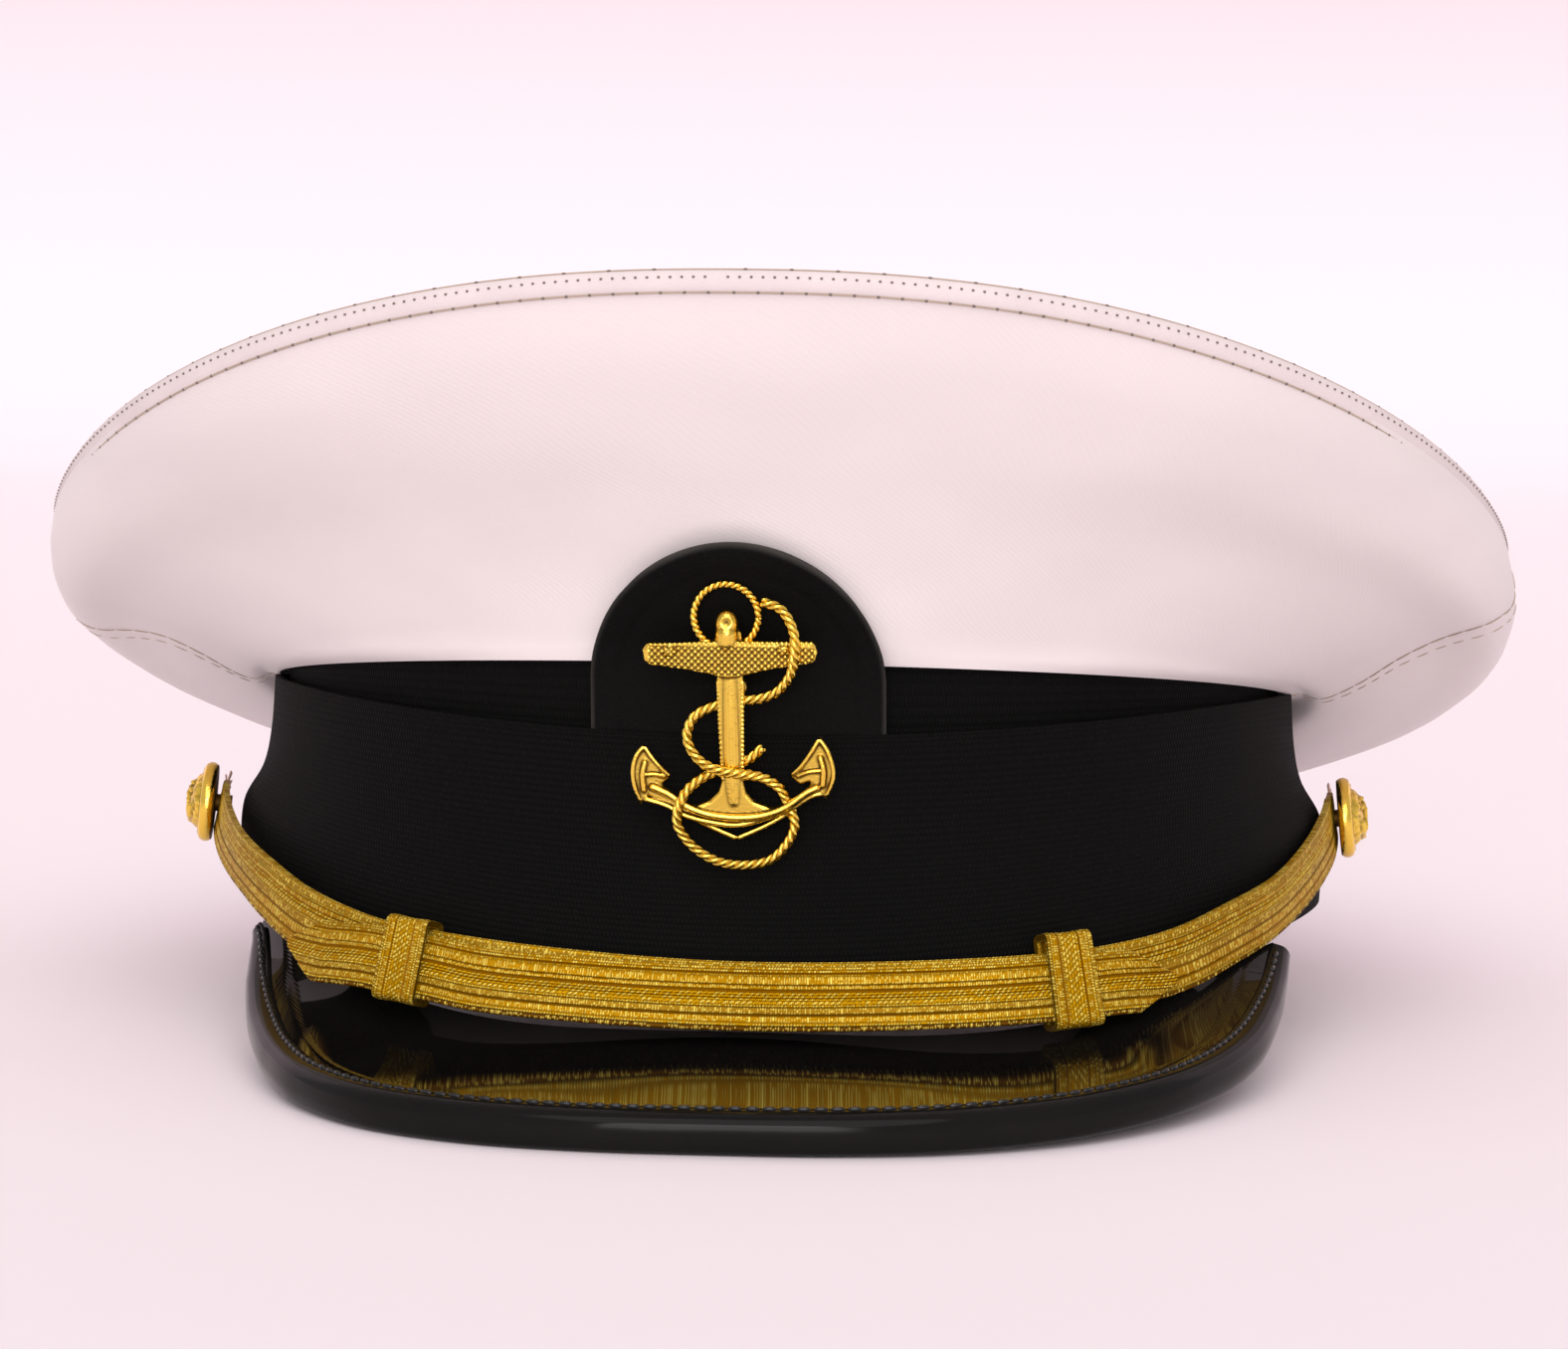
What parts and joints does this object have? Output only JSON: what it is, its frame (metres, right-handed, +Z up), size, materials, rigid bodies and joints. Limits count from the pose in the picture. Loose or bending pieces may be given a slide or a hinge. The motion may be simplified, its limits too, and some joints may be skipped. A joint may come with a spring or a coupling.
{
  "type": "visor cap",
  "caption": "Peaked combination cap with a wide white crown, black elastic band, gilt anchor badge, gold lace chin strap, side buttons and a patent peak.",
  "frame": {"origin": "on the ground under the middle of the cap's length and width", "axes": "+Z up; the front faces -Y; +X is the wearer's left"},
  "size_m": [0.2669, 0.2866, 0.1388],
  "materials": {
    "white_cloth": "smooth white coated twill with a faint sheen",
    "black_ribbing": "matt ribbed elastic knit",
    "black_tab": "matt bound cloth tab",
    "gold_lace": "woven metallic gold lace",
    "gilt": "polished gilt",
    "patent_black": "mirror gloss patent"
  },
  "bodies": {
    "root": {"crown_top": "white_cloth", "rim_welt": "white_cloth", "quarter_front": "white_cloth", "quarter_rear": "white_cloth", "inner_band": "black_ribbing", "outer_band": "black_ribbing", "badge_tab": "black_tab", "strap_back": "gold_lace", "strap_front": "gold_lace", "slider_left": "gold_lace", "slider_right": "gold_lace", "anchor_badge": "gilt", "button_left": "gilt", "button_right": "gilt", "visor": "patent_black", "visor_trim": "patent_black"}
  },
  "joints": []
}
